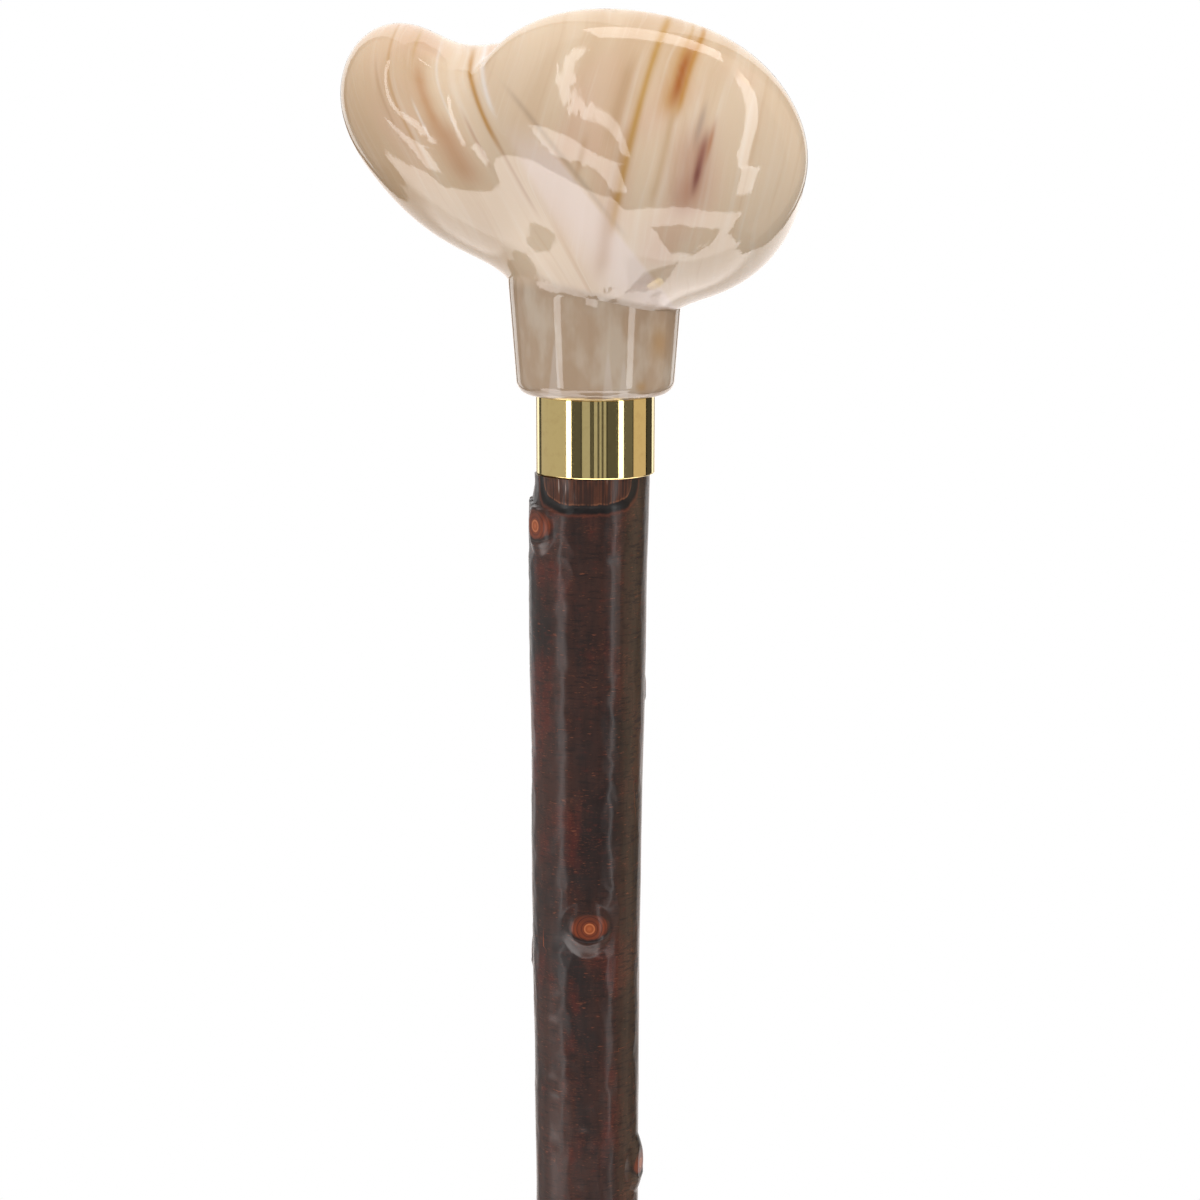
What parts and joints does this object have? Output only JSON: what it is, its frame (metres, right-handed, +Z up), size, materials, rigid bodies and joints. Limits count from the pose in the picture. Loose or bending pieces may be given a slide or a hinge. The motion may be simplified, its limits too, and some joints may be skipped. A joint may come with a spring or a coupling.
{
  "type": "walking stick",
  "caption": "Walking stick with a palm-shaped marbled grip, a brass collar, a bark-on knotty hardwood shaft and a rubber ferrule that pulls off.",
  "frame": {"origin": "centre of the ferrule's ground face, where the stick stands on the floor", "axes": "+Z up the shaft to the grip; -X to the nose of the grip and +X to its heel; -Y to the side that the palm swells towards"},
  "size_m": [0.092, 0.0573, 0.915],
  "materials": {
    "marbled_acrylic": "polished cream acrylic with amber marbling",
    "polished_brass": "polished and lacquered",
    "bark_on_wood": "varnished bark, dark red-brown, knots pared to orange wood",
    "zinc_steel": "bright zinc plate",
    "black_rubber": "moulded matt"
  },
  "bodies": {
    "stick": {"handle": "marbled_acrylic", "collar": "polished_brass", "shaft": "bark_on_wood", "joint_stud": "zinc_steel"},
    "tip": {"ferrule": "black_rubber", "ferrule_washer": "zinc_steel"}
  },
  "joints": [
    {"name": "ferrule_pull", "type": "slide", "parent": "stick", "child": "tip", "axis": [0, 0, -1], "range_m": [0, 0.036]}
  ]
}
